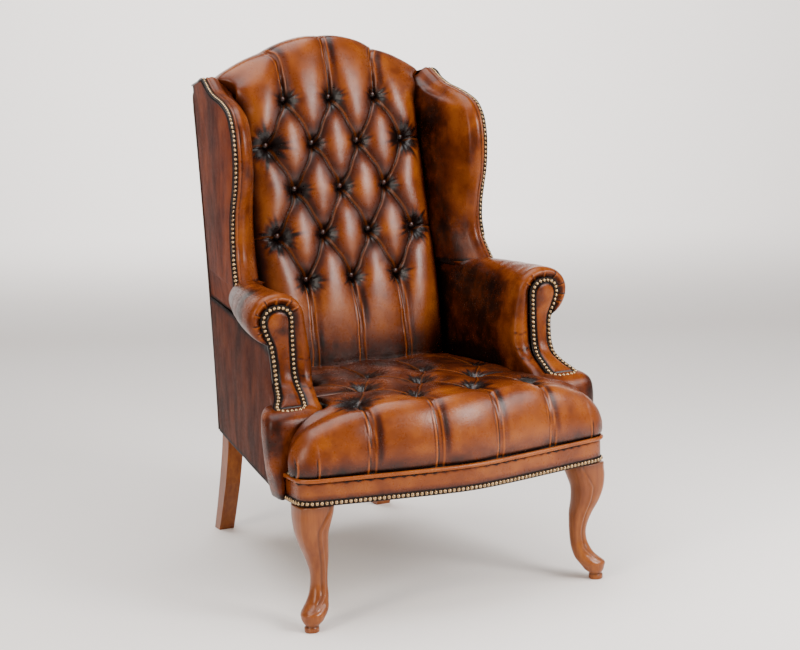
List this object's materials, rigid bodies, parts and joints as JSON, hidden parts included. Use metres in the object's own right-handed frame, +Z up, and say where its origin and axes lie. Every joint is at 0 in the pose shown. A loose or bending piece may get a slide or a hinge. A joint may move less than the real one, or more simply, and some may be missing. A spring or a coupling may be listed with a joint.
{
  "type": "wing armchair",
  "caption": "Deep-buttoned leather wing armchair with rolled arms, nailed trim, cabriole front legs and raked back legs.",
  "frame": {"origin": "on the floor, under the middle of the chair's overall box", "axes": "+Z up, the seat faces -Y, +X is the sitter's left"},
  "size_m": [0.702, 0.83, 1.072],
  "materials": {
    "leg_wood": "mahogany-coloured hardwood, rubbed gloss varnish",
    "frame_wood": "sawn beech, bare",
    "spring_steel": "bright drawn wire",
    "webbing": "woven elastic webbing",
    "leather": "antique hand-rubbed tan hide, satin, darker in folds",
    "button_leather": "the same hide over button moulds, darker at the rim",
    "outside_leather": "the same hide drawn flat, mottled dark brown",
    "welt_leather": "folded hide cord, dark at the seam",
    "brass_nails": "antiqued brass nail heads on a dark gimp band",
    "cambric": "black dust cloth"
  },
  "bodies": {
    "root": {"left_front_leg": "leg_wood", "right_front_leg": "leg_wood", "left_back_leg": "leg_wood", "right_back_leg": "leg_wood", "front_rail": "frame_wood", "back_rail": "frame_wood", "left_side_rail": "frame_wood", "right_side_rail": "frame_wood", "left_front_corner_block": "frame_wood", "right_front_corner_block": "frame_wood", "left_back_corner_block": "frame_wood", "right_back_corner_block": "frame_wood", "lower_back_rail": "frame_wood", "crest_rail": "frame_wood", "left_arm_stump": "frame_wood", "right_arm_stump": "frame_wood", "left_arm_rail": "frame_wood", "right_arm_rail": "frame_wood", "left_wing_board": "frame_wood", "right_wing_board": "frame_wood", "seat_spring_1": "spring_steel", "seat_spring_2": "spring_steel", "seat_spring_3": "spring_steel", "seat_spring_4": "spring_steel", "back_webbing_1": "webbing", "back_webbing_2": "webbing", "seat_pad": "leather", "back_pad": "leather", "left_arm_pad": "leather", "right_arm_pad": "leather", "left_arm_foot_pad": "leather", "right_arm_foot_pad": "leather", "left_arm_facing": "leather", "right_arm_facing": "leather", "left_wing_pad": "leather", "right_wing_pad": "leather", "left_wing_border": "leather", "right_wing_border": "leather", "front_border": "leather", "seat_button_row_1": "button_leather", "seat_button_row_2": "button_leather", "seat_button_row_3": "button_leather", "back_button_row_1": "button_leather", "back_button_row_2": "button_leather", "back_button_row_3": "button_leather", "back_button_row_4": "button_leather", "back_button_row_5": "button_leather", "left_outside_wing": "outside_leather", "right_outside_wing": "outside_leather", "left_outside_arm": "outside_leather", "right_outside_arm": "outside_leather", "outside_back": "outside_leather", "seat_welt": "welt_leather", "left_arm_nail_strip": "brass_nails", "right_arm_nail_strip": "brass_nails", "left_wing_nail_strip": "brass_nails", "right_wing_nail_strip": "brass_nails", "front_nail_strip": "brass_nails", "dust_cover": "cambric"}
  },
  "joints": []
}
